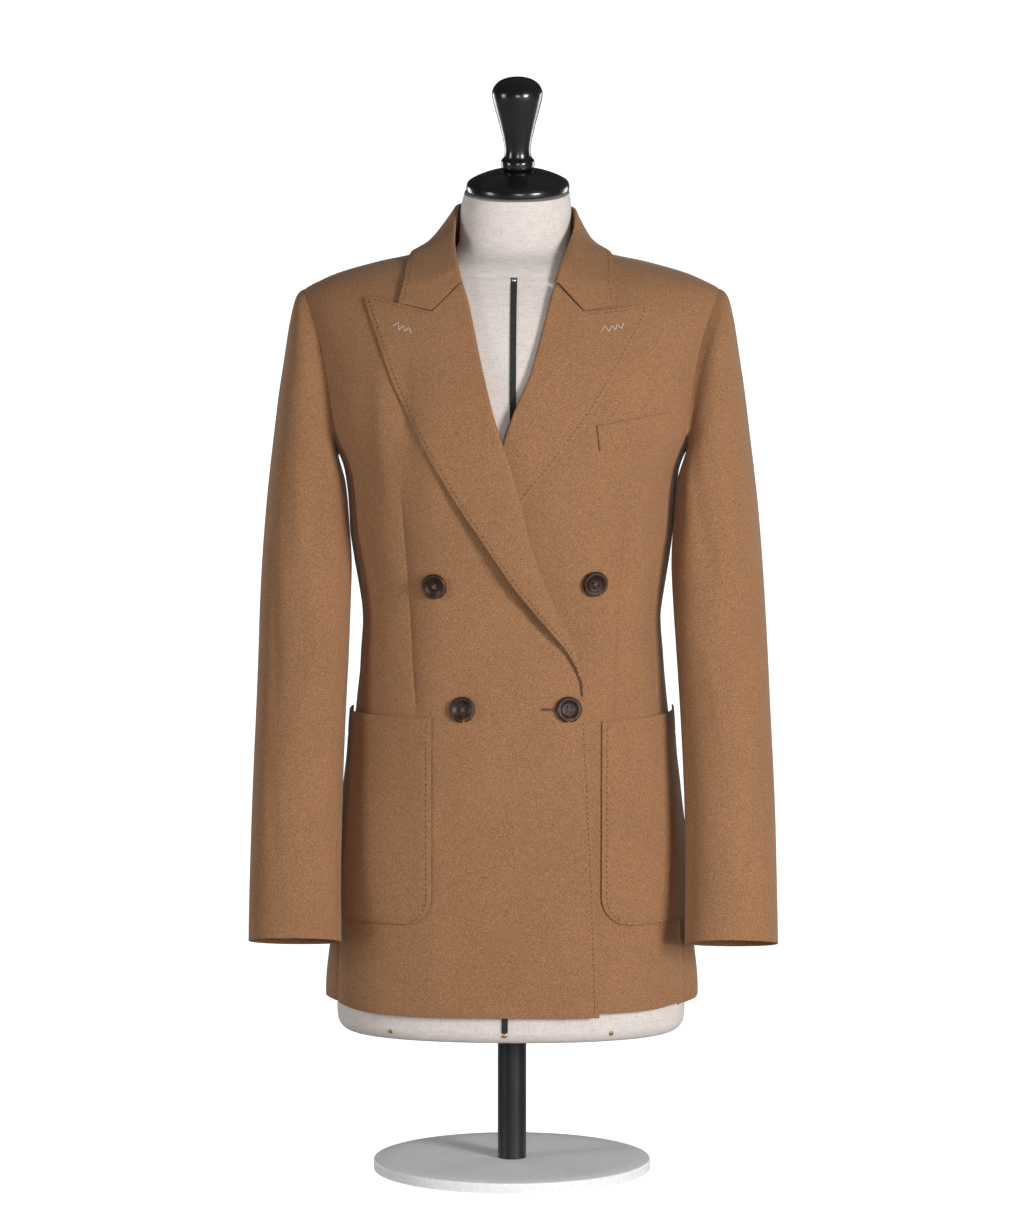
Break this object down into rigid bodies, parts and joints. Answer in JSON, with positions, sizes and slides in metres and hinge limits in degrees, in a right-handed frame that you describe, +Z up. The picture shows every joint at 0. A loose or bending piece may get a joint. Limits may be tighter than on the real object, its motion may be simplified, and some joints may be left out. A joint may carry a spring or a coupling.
{
  "type": "double breasted blazer on a dress form",
  "caption": "Double breasted blazer with peak lapels, patch pockets and a breast welt, worn by a limbless dress form with a neck cap, on a short pole and foot plate.",
  "frame": {"origin": "centre of the foot plate underside, on the floor", "axes": "+Z up; the front of the blazer faces -Y; +X is the wearer's left"},
  "size_m": [0.5056, 0.2731, 1.0604],
  "materials": {
    "camel_wool": "camel wool flannel, matt, fine heathered weave",
    "camel_wool_dark": "camel wool flannel, matt, fine heathered weave",
    "natural_linen": "natural linen, plain slubbed weave",
    "black_tape": "matt black cotton tape",
    "black_lacquer": "gloss black lacquer on turned wood",
    "black_steel": "satin black paint",
    "white_steel": "satin white powder coat",
    "dark_horn": "polished dark horn"
  },
  "bodies": {
    "root": {"front_right_over": "camel_wool", "back_right": "camel_wool", "back_left": "camel_wool", "lapel_right_over": "camel_wool", "lapel_left_under": "camel_wool", "collar": "camel_wool", "sleeve_top_right": "camel_wool", "sleeve_top_left": "camel_wool", "sleeve_under_right": "camel_wool", "sleeve_under_left": "camel_wool", "patch_pocket_right": "camel_wool", "patch_pocket_left": "camel_wool", "breast_welt": "camel_wool", "front_left_under": "camel_wool_dark", "side_body_right": "camel_wool_dark", "side_body_left": "camel_wool_dark", "form_torso": "natural_linen", "form_tape": "black_tape", "neck_cap": "black_lacquer", "neck_handle": "black_lacquer", "pole": "black_steel", "foot_plate": "white_steel", "button_waist_right": "dark_horn", "button_waist_left": "dark_horn", "button_lower_right": "dark_horn", "button_lower_left": "dark_horn"}
  },
  "joints": []
}
